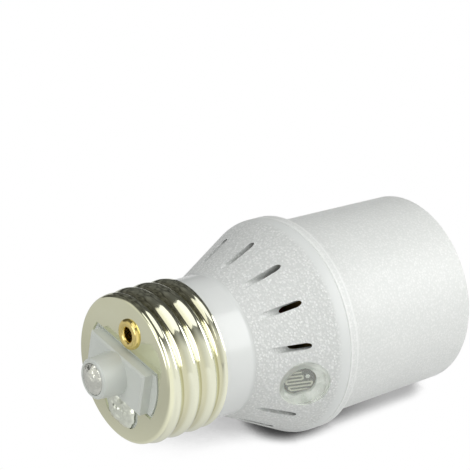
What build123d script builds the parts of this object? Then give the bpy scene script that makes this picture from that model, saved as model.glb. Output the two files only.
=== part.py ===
from build123d import *
import os
from math import atan, cos, degrees, radians, sin

os.makedirs("parts", exist_ok=True)

# Photocell lamp holder, standing on the mouth of its skirt with the screw base up.
# Millimetres, Z along the axis, origin at the middle of the mouth.
# The window faces -Y.

# Skirt: the moulding that holds the lamp's socket
skirt_length = 28.05
skirt_mouth_radius = 17.15
skirt_top_radius = 17.6
skirt_bore_radius = 15.2
skirt_edge_chamfer = 0.35
flange_radius = 19.1
flange_thickness = 1.95
flange_edge_chamfer = 0.3
seam_chamfer = 0.15
spigot_height = 2.2
spigot_wall = 1.5
cup_wall = 1.9
floor_depth = 6.0
floor_thickness = 2.2
rib_width = 1.6
rib_count = 4
standoff_height = 5.0
standoff_radius = 2.4

# Housing: rim, cone and neck, with the post, bar and nozzle of the screw base
cone_height = 15.7
rim_height = 1.74
housing_wall = 1.85
rim_rounding = 3.7
spigot_gap = 0.15
neck_length = 5.9
neck_lip = 0.05
neck_rounding = 0.8
post_gap = 0.15
post_wall = 2.15
post_top_thickness = 2.6
bar_turn = 2.5
bar_width = 7.7
bar_length = 15.4
bar_rise = 1.95
bar_chamfer = 0.35
land_gap = 0.4
nozzle_base_radius = 3.8
nozzle_tip_radius = 3.45
nozzle_height = 4.3
nozzle_chamfer = 0.25

# Vent slots round the cone, one of their places taken by the window
slot_places = 14
slot_inner_radius = 13.45
slot_outer_radius = 16.8
slot_width = 1.15

# Window and photocell
window_rise = 7.3
lens_radius = 4.4
lens_gap = 0.05
lens_thickness = 1.8
lens_proud = 0.15
lens_chamfer = 0.45
window_boss_wall = 1.0
window_boss_depth = 2.6
photocell_length = 5.4
photocell_width = 4.6
photocell_thickness = 2.0
photocell_gap = 0.3
photocell_side_gap = 0.25
photocell_shift = 0.7
photocell_turn = 25.0
photocell_chamfer = 0.25
lead_radius = 0.25
lead_spacing = 3.4
lead_reach = 1.2
lead_hole_gap = 0.1

# Screw shell of the base: the E26 male thread
thread_crest_radius = 13.15
thread_root_radius = 12.3
thread_pitch = 3.629
thread_half_width = 1.3
thread_flank_height = 0.6
thread_flank_width = 0.66
thread_crest_width = 0.5
cap_wall = 0.4
cap_length = 11.9
cap_end_chamfer = 0.6
cutout_side_gap = 0.65
cutout_end_gap = 2.1

# Eyelet, solder and centre contact on the end of the base
eyelet_flange_radius = 2.65
eyelet_bore_radius = 1.2
eyelet_wall = 0.4
eyelet_curl = 0.35
eyelet_margin = 0.15
rivet_hole_gap = 0.05
notch_width = 5.6
notch_length = 9.6
notch_shift = -0.7
notch_bite = 0.4
solder_gap = 0.06
solder_length = 8.1
solder_width = 6.1
solder_spread = 0.35
solder_shift = -0.25
solder_height = 1.1
solder_rounding = 0.95
contact_radius = 2.7
contact_rise = 0.85
contact_depth = 0.8
contact_stem_radius = 1.1
contact_stem_length = 2.95
contact_gap = 0.06

# Lamp socket: female shell, spring tongue and rivets
socket_bore_radius = 13.3
socket_wall = 0.35
socket_length = 19.0
socket_thread_length = 13.6
socket_step_length = 0.8
socket_step = 0.7
socket_flange_bore = 8.7
socket_rib_gap = 0.3
shell_rivet_circle = 10.6
shell_rivet_shank = 1.0
shell_rivet_head = 1.6
rivet_head_height = 0.7
tongue_thickness = 0.4
tongue_width = 6.0
tongue_foot_end = 7.6
tongue_foot_margin = 0.1
tongue_foot_bend = 3.8
tongue_drop = 4.6
tongue_pad_bend = 1.9
tongue_pad_end = -2.7
tongue_curl_length = 0.9
tongue_curl_rise = 0.8
tongue_bend_radius = 0.9
tongue_rivet_shank = 1.05
tongue_rivet_head = 1.5

# Circuit board and what stands on it
board_thickness = 1.6
board_gap = 0.7
board_screw_circle = 11.8
screw_head_radius = 2.3
screw_head_height = 1.6
screw_radius = 1.1
screw_hole_gap = 0.15
screw_grip = 4.0
screw_slot_width = 0.6
screw_slot_depth = 0.7
can_radius = 3.15
can_height = 11.0
can_place = (-6.2, -3.6)
can_groove_height = 2.0
can_groove_depth = 0.35
film_size = (4.5, 10.0, 7.5)
film_place = (6.8, 1.5)
film_rounding = 0.8
film_lead_spacing = 7.5
thyristor_radius = 2.35
thyristor_flat = 1.35
thyristor_height = 4.7
thyristor_legs = 2.0
thyristor_leg_width = 0.45
thyristor_leg_spacing = 1.27
thyristor_place = (6.0, -7.6)
component_standoff = 0.5
axial_lead_radius = 0.3
axial_lead_span = 10.0
resistor_length = 6.3
resistor_radius = 1.15
resistor_chamfer = 0.4
resistor_rows = (8.6, 11.4)
bridge_size = (8.5, 6.5, 3.2)
bridge_place = (-3.5, 0)
bridge_chamfer = 0.4
bridge_pin_spacing = 5.1
bridge_pin_width = 0.55

# Wires
wire_radius = 0.75
wire_hole_gap = 0.15
line_wire_start = (3.0, -4.2)
neutral_wire_start = (-2.5, 5.5)
riser_bend = 6.0
link_bend = 1.4
link_run = 2.0
load_run = (2.0, 1.5)


# Heights and radii that follow from the driving dimensions
seam_z = skirt_length + flange_thickness
floor_z = seam_z - floor_depth
floor_top_z = floor_z + floor_thickness
board_z = floor_top_z + standoff_height
board_top_z = board_z + board_thickness
neck_z = seam_z + cone_height
cap_z = neck_z + neck_length
cap_end_z = cap_z + cap_length
post_top_z = cap_end_z - cap_wall
bar_top_z = cap_end_z + bar_rise
nozzle_tip_z = bar_top_z + nozzle_height

thread_depth = thread_crest_radius - thread_root_radius
neck_radius = thread_root_radius + neck_lip
cap_bore_radius = thread_root_radius - cap_wall
post_radius = cap_bore_radius - post_gap
post_bore_radius = post_radius - post_wall
post_bore_top_z = post_top_z - post_top_thickness
spigot_radius = flange_radius - housing_wall - spigot_gap / 2
spigot_bore_radius = spigot_radius - spigot_wall
cup_bore_radius = min(spigot_bore_radius, skirt_top_radius - cup_wall)

cone_slope = (flange_radius - neck_radius) / (cone_height - rim_height)
cone_half_angle = degrees(atan(cone_slope))
cone_wall_across = housing_wall / cos(radians(cone_half_angle))


def cone_radius(z):
    """Outer radius of the cone at a height."""
    return neck_radius + (neck_z - z) * cone_slope


rim_corner_z = seam_z + rim_height
recess_radius = spigot_radius + spigot_gap
recess_top_z = seam_z + spigot_height + spigot_gap
inner_cone_top_z = neck_z + (neck_radius - cone_wall_across - post_bore_radius) / cone_slope

cutout_width = bar_width + 2 * cutout_side_gap
cutout_length = bar_length + 2 * cutout_end_gap
eyelet_x = cutout_width / 2 + eyelet_flange_radius + eyelet_margin
eyelet_shank_radius = eyelet_bore_radius + eyelet_wall
notch_x = -(cutout_width / 2 + notch_width / 2 - notch_bite)
base_axis = Vector(cos(radians(bar_turn)), sin(radians(bar_turn)), 0)
base_face = Plane(origin=(0, 0, post_top_z), x_dir=base_axis, z_dir=(0, 0, 1))
wire_exit = base_face.from_local_coords((notch_x, notch_shift, 0))
wire_hole_radius = wire_radius + wire_hole_gap

window_z = seam_z + window_rise
window_centre = Vector(0, -cone_radius(window_z), window_z)
window_normal = Vector(0, -cos(radians(cone_half_angle)), sin(radians(cone_half_angle)))
window_plane = Plane(origin=window_centre, x_dir=(1, 0, 0), z_dir=window_normal)
lens_hole_radius = lens_radius + lens_gap
window_boss_radius = lens_hole_radius + window_boss_wall
up_slope = Vector(0, window_normal.Z, -window_normal.Y)
photocell_axis = up_slope * cos(radians(photocell_turn)) - Vector(sin(radians(photocell_turn)), 0, 0)
seat_centre = window_centre - window_normal * lens_thickness + up_slope * photocell_shift
seat_plane = Plane(origin=seat_centre, x_dir=photocell_axis, z_dir=window_normal)
photocell_plane = seat_plane.offset(-photocell_gap - photocell_thickness)
window_sag = window_boss_radius**2 * cos(radians(cone_half_angle)) / (2 * cone_radius(window_z))

board_radius = min(spigot_bore_radius, cone_radius(board_top_z) - cone_wall_across) - board_gap
socket_mouth_z = floor_z - socket_length
socket_neck_radius = socket_bore_radius - socket_step


# Screw shell: a drawn cup with a rolled thread, cut out for the bar, the eyelet and the solder
thread_run_in = 2 * thread_pitch
with BuildPart() as cap_shell:
    with BuildSketch(Plane.XY.offset(cap_z - thread_run_in)):
        Circle(thread_root_radius)
    extrude(amount=cap_length + 2 * thread_run_in)

    # The thread runs past both ends and is then turned down to the shell's outline
    with BuildLine() as thread_path:
        Helix(thread_pitch, cap_length + 2 * thread_pitch, thread_root_radius, center=(0, 0, cap_z - thread_pitch))
    with BuildSketch(Plane(origin=thread_path.line @ 0, x_dir=(1, 0, 0), z_dir=thread_path.line % 0)):
        with BuildLine():
            Polyline(
                (-cap_wall / 2, -thread_half_width),
                (0, -thread_half_width),
                (thread_flank_height, -thread_flank_width),
                (thread_depth, -thread_crest_width / 2),
                (thread_depth, thread_crest_width / 2),
                (thread_flank_height, thread_flank_width),
                (0, thread_half_width),
                (-cap_wall / 2, thread_half_width),
                close=True,
            )
        make_face()
    sweep(path=thread_path.line, is_frenet=True)
    with BuildSketch(Plane.XZ) as cap_outline:
        with Locations((0, cap_z)):
            Rectangle(thread_crest_radius + cap_wall / 2, cap_length, align=(Align.MIN, Align.MIN))
        end_corner = (thread_crest_radius + cap_wall / 2, cap_end_z)
        chamfer(cap_outline.vertices().sort_by_distance(end_corner)[0], cap_end_chamfer)
    revolve(axis=Axis.Z, mode=Mode.INTERSECT)
    with BuildSketch(Plane.XY.offset(cap_z)):
        Circle(cap_bore_radius)
    extrude(amount=cap_length - cap_wall, mode=Mode.SUBTRACT)
    with BuildSketch(base_face):
        Circle(cutout_length / 2)
        Rectangle(cutout_width, cutout_length, mode=Mode.INTERSECT)
        with Locations((notch_x, notch_shift)):
            SlotOverall(notch_length, notch_width, rotation=90)
    extrude(amount=cap_wall, mode=Mode.SUBTRACT)
    with BuildSketch(Plane.XY.offset(post_top_z)):
        with Locations((eyelet_x, 0)):
            Circle(eyelet_shank_radius + rivet_hole_gap)
    extrude(amount=cap_wall, mode=Mode.SUBTRACT)

cap_shell.part.label = "cap_shell"
export_step(cap_shell.part, "parts/cap_shell.step")


# Housing: one moulding from the rim to the nozzle
with BuildPart() as base_housing:
    with BuildSketch(Plane.XZ) as housing_section:
        with BuildLine():
            Polyline(
                (recess_radius, seam_z),
                (flange_radius, seam_z),
                (flange_radius, rim_corner_z),
                (neck_radius, neck_z),
                (neck_radius, cap_z),
                (post_radius, cap_z),
                (post_radius, post_top_z),
                (0, post_top_z),
                (0, post_bore_top_z),
                (post_bore_radius, post_bore_top_z),
                (post_bore_radius, inner_cone_top_z),
                (cone_radius(recess_top_z) - cone_wall_across, recess_top_z),
                (recess_radius, recess_top_z),
                close=True,
            )
        make_face()
        fillet(housing_section.vertices().sort_by_distance((flange_radius, rim_corner_z))[0], rim_rounding)
        fillet(housing_section.vertices().sort_by_distance((neck_radius, neck_z))[0], neck_rounding)
        chamfer(housing_section.vertices().sort_by_distance((flange_radius, seam_z))[0], seam_chamfer)
    revolve(axis=Axis.Z)

    # Seat for the window, trimmed where the skirt's spigot enters
    with BuildSketch(window_plane.offset(-window_sag)):
        Circle(window_boss_radius)
    extrude(amount=window_sag - window_boss_depth)
    with BuildSketch(Plane.XY.offset(seam_z)):
        Circle(recess_radius)
    extrude(amount=recess_top_z - seam_z, mode=Mode.SUBTRACT)
    with BuildSketch(window_plane.offset(window_sag)):
        Circle(lens_hole_radius)
    extrude(amount=-window_sag - lens_thickness, mode=Mode.SUBTRACT)
    with BuildSketch(seat_plane):
        Circle(photocell_length / 2 + photocell_side_gap)
        Rectangle(photocell_length * 2, photocell_width + 2 * photocell_side_gap, mode=Mode.INTERSECT)
    extrude(amount=-2 * window_boss_depth, mode=Mode.SUBTRACT)

    # Vent slots, drawn straight along the axis
    with BuildSketch(Plane.XY.offset(recess_top_z)):
        with PolarLocations((slot_inner_radius + slot_outer_radius) / 2, slot_places, start_angle=-90) as slot_ring:
            slot_spots = slot_ring.locations[1:]
        with Locations(*slot_spots):
            SlotOverall(slot_outer_radius - slot_inner_radius, slot_width)
    extrude(until=Until.LAST, mode=Mode.SUBTRACT)

    # A land that fills the shell's cut-out, with the bar and the nozzle on it
    with BuildSketch(base_face):
        Circle(cutout_length / 2 - land_gap)
        Rectangle(bar_width, cutout_length, mode=Mode.INTERSECT)
    extrude(amount=cap_wall)
    with BuildSketch(base_face):
        Rectangle(bar_width, bar_length)
    extrude(amount=bar_top_z - post_top_z)
    chamfer(base_housing.faces().sort_by(Axis.Z)[-1].edges(), bar_chamfer)
    with BuildSketch(Plane.XZ) as nozzle_section:
        with BuildLine():
            Polyline(
                (0, bar_top_z - bar_chamfer),
                (nozzle_base_radius, bar_top_z - bar_chamfer),
                (nozzle_base_radius, bar_top_z),
                (nozzle_tip_radius, nozzle_tip_z),
                (0, nozzle_tip_z),
                close=True,
            )
        make_face()
        chamfer(nozzle_section.vertices().sort_by_distance((nozzle_tip_radius, nozzle_tip_z))[0], nozzle_chamfer)
    revolve(axis=Axis.Z)
    with Locations((0, 0, nozzle_tip_z)):
        CounterBoreHole(
            contact_stem_radius + contact_gap,
            contact_radius + contact_gap,
            contact_depth,
            nozzle_tip_z - post_bore_top_z + post_wall,
        )
    with BuildSketch(Plane.XY.offset(post_bore_top_z)):
        with Locations((eyelet_x, 0)):
            Circle(eyelet_shank_radius + rivet_hole_gap)
        with Locations((wire_exit.X, wire_exit.Y)):
            Circle(wire_hole_radius)
    extrude(amount=post_top_thickness, mode=Mode.SUBTRACT)

base_housing.part.label = "base_housing"
export_step(base_housing.part, "parts/base_housing.step")


# Centre contact: a domed button with a stem in the nozzle
contact_floor_z = nozzle_tip_z - contact_depth
contact_stem_z = contact_floor_z - contact_stem_length
contact_dome_radius = (contact_radius**2 + contact_rise**2) / (2 * contact_rise)
with BuildPart() as centre_contact:
    with BuildSketch(Plane.XZ):
        with BuildLine():
            dome = RadiusArc(
                (contact_radius, nozzle_tip_z), (0, nozzle_tip_z + contact_rise), -contact_dome_radius
            )
            Polyline(
                dome @ 1,
                (0, contact_stem_z),
                (contact_stem_radius, contact_stem_z),
                (contact_stem_radius, contact_floor_z),
                (contact_radius, contact_floor_z),
                dome @ 0,
            )
        make_face()
    revolve(axis=Axis.Z)

centre_contact.part.label = "centre_contact"
export_step(centre_contact.part, "parts/centre_contact.step")


# Eyelet: a hollow rivet with a rolled flange outside and a curl inside the post
with BuildPart() as eyelet:
    with BuildSketch(Plane(origin=(eyelet_x, 0, 0), x_dir=(1, 0, 0), z_dir=(0, -1, 0))) as eyelet_section:
        with BuildLine():
            Polyline(
                (eyelet_bore_radius, post_bore_top_z - eyelet_wall),
                (eyelet_shank_radius + eyelet_curl, post_bore_top_z - eyelet_wall),
                (eyelet_shank_radius + eyelet_curl, post_bore_top_z),
                (eyelet_shank_radius, post_bore_top_z),
                (eyelet_shank_radius, cap_end_z),
                (eyelet_flange_radius, cap_end_z),
                (eyelet_flange_radius, cap_end_z + 2 * eyelet_curl),
                (eyelet_bore_radius, cap_end_z + 2 * eyelet_curl),
                close=True,
            )
        make_face()
        chamfer(eyelet_section.vertices().group_by(Axis.Y)[-1], eyelet_curl)
    revolve(axis=Axis((eyelet_x, 0, 0), (0, 0, 1)))

eyelet.part.label = "eyelet"
export_step(eyelet.part, "parts/eyelet.step")


# Solder: a mound that fills most of the notch and spreads over the shell's end
with BuildPart() as solder_joint:
    with BuildSketch(base_face):
        with Locations((notch_x, notch_shift + solder_shift)):
            SlotOverall(solder_length, notch_width - 2 * solder_gap, rotation=90)
    extrude(amount=cap_wall)
    with BuildSketch(base_face.offset(cap_wall)):
        with Locations((notch_x - solder_spread, notch_shift + solder_shift)):
            SlotOverall(solder_length, solder_width, rotation=90)
    extrude(amount=solder_height)
    with BuildSketch(base_face):
        Rectangle(bar_width + 2 * solder_gap, notch_length * 2)
    extrude(amount=cap_wall + solder_height, mode=Mode.SUBTRACT)
    fillet(solder_joint.faces().sort_by(Axis.Z)[-1].edges(), solder_rounding)

solder_joint.part.label = "solder_joint"
export_step(solder_joint.part, "parts/solder_joint.step")


# Window lens: a flat clear disc with a rounded outer edge
with BuildPart() as window_lens:
    with BuildSketch(window_plane.offset(-lens_thickness)):
        Circle(lens_radius)
    extrude(amount=lens_thickness + lens_proud)
    chamfer(window_lens.faces().sort_by(Axis.Y)[0].edges(), lens_chamfer)

window_lens.part.label = "window_lens"
export_step(window_lens.part, "parts/window_lens.step")


# Photocell: a round disc with two flats, turned in its seat, and two bent leads down to the board
with BuildPart() as photocell:
    with BuildSketch(photocell_plane):
        Circle(photocell_length / 2)
        Rectangle(photocell_length, photocell_width, mode=Mode.INTERSECT)
    extrude(amount=photocell_thickness)
    chamfer(photocell.faces().sort_by(Axis((0, 0, 0), window_normal))[-1].edges(), photocell_chamfer)

photocell.part.label = "photocell"
export_step(photocell.part, "parts/photocell.step")

lead_roots = [photocell_plane.from_local_coords((side * lead_spacing / 2, 0, 0)) for side in (-1, 1)]
lead_feet = [root - window_normal * lead_reach for root in lead_roots]
with BuildPart() as photocell_leads:
    for root, foot in zip(lead_roots, lead_feet):
        with BuildLine() as lead_path:
            Polyline(root, foot, (foot.X, foot.Y, board_z))
        with BuildSketch(Plane(origin=root, z_dir=-window_normal)):
            Circle(lead_radius)
        sweep(path=lead_path.line, transition=Transition.RIGHT)

photocell_leads.part.label = "photocell_leads"
export_step(photocell_leads.part, "parts/photocell_leads.step")


# Circuit board: a round board on two standoffs
screw_spots = [(-board_screw_circle, 0), (board_screw_circle, 0)]
with BuildPart() as circuit_board:
    with BuildSketch(Plane.XY.offset(board_z)):
        Circle(board_radius)
        with Locations(*screw_spots):
            Circle(screw_radius + screw_hole_gap, mode=Mode.SUBTRACT)
        with Locations(*[(foot.X, foot.Y) for foot in lead_feet]):
            Circle(lead_radius + lead_hole_gap, mode=Mode.SUBTRACT)
    extrude(amount=board_thickness)

circuit_board.part.label = "circuit_board"
export_step(circuit_board.part, "parts/circuit_board.step")

with BuildPart() as board_screws:
    with BuildSketch(Plane.XY.offset(board_top_z)):
        with Locations(*screw_spots):
            Circle(screw_head_radius)
    extrude(amount=screw_head_height)
    chamfer(board_screws.edges().group_by(Axis.Z)[-1], screw_head_height / 3)
    with BuildSketch(Plane.XY.offset(board_top_z + screw_head_height - screw_slot_depth)):
        with Locations(*screw_spots):
            Rectangle(2 * screw_head_radius, screw_slot_width)
    extrude(amount=screw_slot_depth, mode=Mode.SUBTRACT)
    with BuildSketch(Plane.XY.offset(board_z - screw_grip)):
        with Locations(*screw_spots):
            Circle(screw_radius)
    extrude(amount=screw_grip + board_thickness)

board_screws.part.label = "board_screws"
export_step(board_screws.part, "parts/board_screws.step")


# Components on the top of the board
with BuildPart() as electrolytic_capacitor:
    with BuildSketch(Plane(origin=(*can_place, board_top_z), x_dir=(1, 0, 0), z_dir=(0, -1, 0))) as can_section:
        Rectangle(can_radius, can_height, align=(Align.MIN, Align.MIN))
        with Locations((can_radius, can_groove_height)):
            Rectangle(2 * can_groove_depth, 2 * can_groove_depth, rotation=45, mode=Mode.SUBTRACT)
        chamfer(can_section.vertices().sort_by_distance((can_radius, can_height))[0], can_groove_depth)
    revolve(axis=Axis((*can_place, board_top_z), (0, 0, 1)))

electrolytic_capacitor.part.label = "electrolytic_capacitor"
export_step(electrolytic_capacitor.part, "parts/electrolytic_capacitor.step")

with BuildPart() as film_capacitor:
    with Locations((*film_place, board_top_z + component_standoff)):
        Box(*film_size, align=(Align.CENTER, Align.CENTER, Align.MIN))
    fillet(film_capacitor.edges().filter_by(Axis.Z), film_rounding)
    with BuildSketch(Plane.XY.offset(board_top_z)):
        with Locations(film_place):
            with GridLocations(0, film_lead_spacing, 1, 2):
                Circle(axial_lead_radius)
    extrude(amount=component_standoff)

film_capacitor.part.label = "film_capacitor"
export_step(film_capacitor.part, "parts/film_capacitor.step")

with BuildPart() as thyristor:
    with BuildSketch(Plane.XY.offset(board_top_z + thyristor_legs)):
        with Locations(thyristor_place):
            Circle(thyristor_radius)
        with Locations((thyristor_place[0] + thyristor_flat, thyristor_place[1])):
            flat_reach = thyristor_radius
            Rectangle(flat_reach, 2 * thyristor_radius, align=(Align.MIN, Align.CENTER), mode=Mode.SUBTRACT)
    extrude(amount=thyristor_height)
    with BuildSketch(Plane.XY.offset(board_top_z)):
        with Locations(thyristor_place):
            with GridLocations(0, thyristor_leg_spacing, 1, 3):
                Rectangle(thyristor_leg_width, thyristor_leg_width)
    extrude(amount=thyristor_legs)

thyristor.part.label = "thyristor"
export_step(thyristor.part, "parts/thyristor.step")


with BuildPart() as resistor:
    resistor_lift = component_standoff + resistor_radius
    resistor_reach = axial_lead_span / 2
    with BuildLine() as resistor_lead:
        Polyline(
            (-resistor_reach, 0, 0),
            (-resistor_reach, 0, resistor_lift),
            (resistor_reach, 0, resistor_lift),
            (resistor_reach, 0, 0),
        )
    with BuildSketch(Plane(origin=(-resistor_reach, 0, 0))):
        Circle(axial_lead_radius)
    sweep(path=resistor_lead.line, transition=Transition.RIGHT)
    with BuildSketch(Plane(origin=(0, 0, resistor_lift), x_dir=(1, 0, 0), z_dir=(0, -1, 0))) as resistor_section:
        Rectangle(resistor_length, resistor_radius, align=(Align.CENTER, Align.MIN))
        chamfer(resistor_section.vertices().group_by(Axis.Y)[-1], resistor_chamfer)
    revolve(axis=Axis((0, 0, resistor_lift), (1, 0, 0)))

with BuildPart() as resistors:
    with Locations(*[(0, row, board_top_z) for row in resistor_rows]):
        add(resistor.part)

resistors.part.label = "resistors"
export_step(resistors.part, "parts/resistors.step")

# Bridge rectifier under the board: a moulded block on four flat pins
with BuildPart() as bridge_rectifier:
    with BuildSketch(Plane.XY.offset(board_z - component_standoff)):
        with Locations(bridge_place):
            Rectangle(bridge_size[0], bridge_size[1])
    extrude(amount=-bridge_size[2])
    chamfer(bridge_rectifier.edges().group_by(Axis.Z)[0], bridge_chamfer)
    with BuildSketch(Plane.XY.offset(board_z - component_standoff)):
        with Locations(bridge_place):
            with GridLocations(bridge_pin_spacing, bridge_pin_spacing, 2, 2):
                Rectangle(bridge_pin_width, bridge_pin_width)
    extrude(amount=component_standoff)

bridge_rectifier.part.label = "bridge_rectifier"
export_step(bridge_rectifier.part, "parts/bridge_rectifier.step")


# Skirt: flange, spigot, floor, ribs that steady the socket shell, and standoffs for the board
tongue_rivet_x = tongue_foot_end - tongue_rivet_head - tongue_foot_margin
shell_rivet_spots = [(0, -shell_rivet_circle), (0, shell_rivet_circle)]
rib_tip_radius = socket_bore_radius + socket_wall + socket_rib_gap
with BuildPart() as skirt:
    with BuildSketch(Plane.XZ) as skirt_section:
        with BuildLine():
            Polyline(
                (skirt_bore_radius, 0),
                (skirt_mouth_radius, 0),
                (skirt_top_radius, skirt_length),
                (flange_radius, skirt_length),
                (flange_radius, seam_z),
                (spigot_radius, seam_z),
                (spigot_radius, seam_z + spigot_height),
                (0, seam_z + spigot_height),
                (0, floor_z),
                (skirt_bore_radius, floor_z),
                close=True,
            )
        make_face()
        chamfer(skirt_section.vertices().group_by(Axis.Y)[0], skirt_edge_chamfer)
        chamfer(skirt_section.vertices().sort_by_distance((flange_radius, skirt_length))[0], flange_edge_chamfer)
        chamfer(skirt_section.vertices().sort_by_distance((flange_radius, seam_z))[0], seam_chamfer)
    revolve(axis=Axis.Z)

    # Cup above the floor: it follows the spigot's bore and keeps the skirt's wall
    with BuildSketch(Plane.XY.offset(seam_z)):
        Circle(spigot_bore_radius)
    extrude(amount=spigot_height, mode=Mode.SUBTRACT)
    with BuildSketch(Plane.XY.offset(floor_top_z)):
        Circle(cup_bore_radius)
    extrude(amount=seam_z - floor_top_z, mode=Mode.SUBTRACT)

    # Ribs, standoffs and the holes for screws and rivets
    with BuildSketch(Plane.XY.offset(socket_mouth_z)):
        with PolarLocations(rib_tip_radius, rib_count, start_angle=45):
            rib_reach = skirt_bore_radius - rib_tip_radius + skirt_edge_chamfer
            Rectangle(rib_reach, rib_width, align=(Align.MIN, Align.CENTER))
    extrude(amount=socket_length)
    with BuildSketch(Plane.XY.offset(floor_top_z)):
        with Locations(*screw_spots):
            Circle(standoff_radius)
    extrude(amount=standoff_height)
    with Locations(*[(x, y, board_z) for x, y in screw_spots]):
        Hole(screw_radius, screw_grip)
    with BuildSketch(Plane.XY.offset(floor_z)):
        with Locations(*shell_rivet_spots):
            Circle(shell_rivet_shank + rivet_hole_gap)
        with Locations((tongue_rivet_x, 0)):
            Circle(tongue_rivet_shank + rivet_hole_gap)
    extrude(amount=floor_thickness, mode=Mode.SUBTRACT)

skirt.part.label = "skirt"
export_step(skirt.part, "parts/skirt.step")


# Socket shell: a drawn cup with a threaded stretch, a narrower end and a flange riveted to the floor
socket_thread_top_z = socket_mouth_z + socket_thread_length
socket_outer_radius = socket_bore_radius + socket_wall
with BuildPart() as socket_shell:
    with BuildSketch(Plane.XZ):
        with BuildLine():
            Polyline(
                (socket_bore_radius, socket_mouth_z),
                (socket_outer_radius, socket_mouth_z),
                (socket_outer_radius, socket_thread_top_z),
                (socket_neck_radius + socket_wall, socket_thread_top_z + socket_step_length),
                (socket_neck_radius + socket_wall, floor_z),
                (socket_flange_bore, floor_z),
                (socket_flange_bore, floor_z - socket_wall),
                (socket_neck_radius, floor_z - socket_wall),
                (socket_neck_radius, socket_thread_top_z + socket_step_length),
                (socket_bore_radius, socket_thread_top_z),
                close=True,
            )
        make_face()
    revolve(axis=Axis.Z)
    with BuildSketch(Plane.XY.offset(floor_z - socket_wall)):
        with Locations(*shell_rivet_spots):
            Circle(shell_rivet_shank + rivet_hole_gap)
    extrude(amount=socket_wall, mode=Mode.SUBTRACT)

socket_shell.part.label = "socket_shell"
export_step(socket_shell.part, "parts/socket_shell.step")


# Spring tongue: a bent strip from its riveted foot to the pad on the axis
tongue_foot_z = floor_z - tongue_thickness / 2
tongue_pad_z = tongue_foot_z - tongue_drop
with BuildPart() as contact_tongue:
    with BuildSketch(Plane.XZ):
        with BuildLine():
            FilletPolyline(
                (tongue_foot_end, tongue_foot_z),
                (tongue_foot_bend, tongue_foot_z),
                (tongue_pad_bend, tongue_pad_z),
                (tongue_pad_end, tongue_pad_z),
                (tongue_pad_end - tongue_curl_length, tongue_pad_z + tongue_curl_rise),
                radius=tongue_bend_radius,
            )
        trace(line_width=tongue_thickness)
    extrude(amount=tongue_width / 2, both=True)
    with BuildSketch(Plane.XY.offset(floor_z - tongue_thickness)):
        with Locations((tongue_rivet_x, 0)):
            Circle(tongue_rivet_shank + rivet_hole_gap)
    extrude(amount=tongue_thickness, mode=Mode.SUBTRACT)

contact_tongue.part.label = "contact_tongue"
export_step(contact_tongue.part, "parts/contact_tongue.step")


# Rivets: head inside the socket, shank through the floor, upset tail above it
rivet_tail_z = floor_top_z + rivet_head_height
with BuildPart() as shell_rivets:
    for base_z, radius, height in (
        (floor_z - socket_wall - rivet_head_height, shell_rivet_head, rivet_head_height),
        (floor_z - socket_wall, shell_rivet_shank, socket_wall + floor_thickness),
        (floor_top_z, shell_rivet_head, rivet_head_height),
    ):
        with BuildSketch(Plane.XY.offset(base_z)):
            with Locations(*shell_rivet_spots):
                Circle(radius)
        extrude(amount=height)
    chamfer(shell_rivets.edges().group_by(Axis.Z)[0], rivet_head_height / 2)

shell_rivets.part.label = "shell_rivets"
export_step(shell_rivets.part, "parts/shell_rivets.step")

with BuildPart() as tongue_rivet:
    for base_z, radius, height in (
        (floor_z - tongue_thickness - rivet_head_height, tongue_rivet_head, rivet_head_height),
        (floor_z - tongue_thickness, tongue_rivet_shank, tongue_thickness + floor_thickness),
        (floor_top_z, tongue_rivet_head, rivet_head_height),
    ):
        with BuildSketch(Plane.XY.offset(base_z)):
            with Locations((tongue_rivet_x, 0)):
                Circle(radius)
        extrude(amount=height)
    chamfer(tongue_rivet.edges().group_by(Axis.Z)[0], rivet_head_height / 2)

tongue_rivet.part.label = "tongue_rivet"
export_step(tongue_rivet.part, "parts/tongue_rivet.step")


# Wires: insulated leads of straight runs and tangent arcs, each butting on what it is soldered to
def wire_turns(start, end, low_run, high_run):
    """Route that rises from start, leans across and rises again to end."""
    return [
        start,
        (start[0], start[1], start[2] + low_run),
        (end[0], end[1], end[2] - high_run),
        end,
    ]


riser_run = (post_bore_top_z - board_top_z) / 3
line_points = wire_turns(
    (*line_wire_start, board_top_z), (0, 0, contact_stem_z), riser_run, contact_stem_z - neck_z - riser_run
)
with BuildPart() as line_wire:
    with BuildLine() as line_path:
        FilletPolyline(*line_points, radius=riser_bend)
    with BuildSketch(Plane(origin=line_points[0])):
        Circle(wire_radius)
    sweep(path=line_path.line)

line_wire.part.label = "line_wire"
export_step(line_wire.part, "parts/line_wire.step")

neutral_points = wire_turns(
    (*neutral_wire_start, board_top_z), (wire_exit.X, wire_exit.Y, post_top_z), riser_run, riser_run
)
with BuildPart() as neutral_wire:
    with BuildLine() as neutral_path:
        FilletPolyline(*neutral_points, radius=riser_bend)
    with BuildSketch(Plane(origin=neutral_points[0])):
        Circle(wire_radius)
    sweep(path=neutral_path.line)

neutral_wire.part.label = "neutral_wire"
export_step(neutral_wire.part, "parts/neutral_wire.step")

link_rise = (board_z - rivet_tail_z) / 4
load_points = wire_turns(
    (tongue_rivet_x, 0, rivet_tail_z),
    (tongue_rivet_x + load_run[0], load_run[1], board_z),
    link_rise,
    link_rise,
)
with BuildPart() as load_wire:
    with BuildLine() as load_path:
        FilletPolyline(*load_points, radius=link_bend)
    with BuildSketch(Plane(origin=load_points[0])):
        Circle(wire_radius)
    sweep(path=load_path.line)

load_wire.part.label = "load_wire"
export_step(load_wire.part, "parts/load_wire.step")

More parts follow.
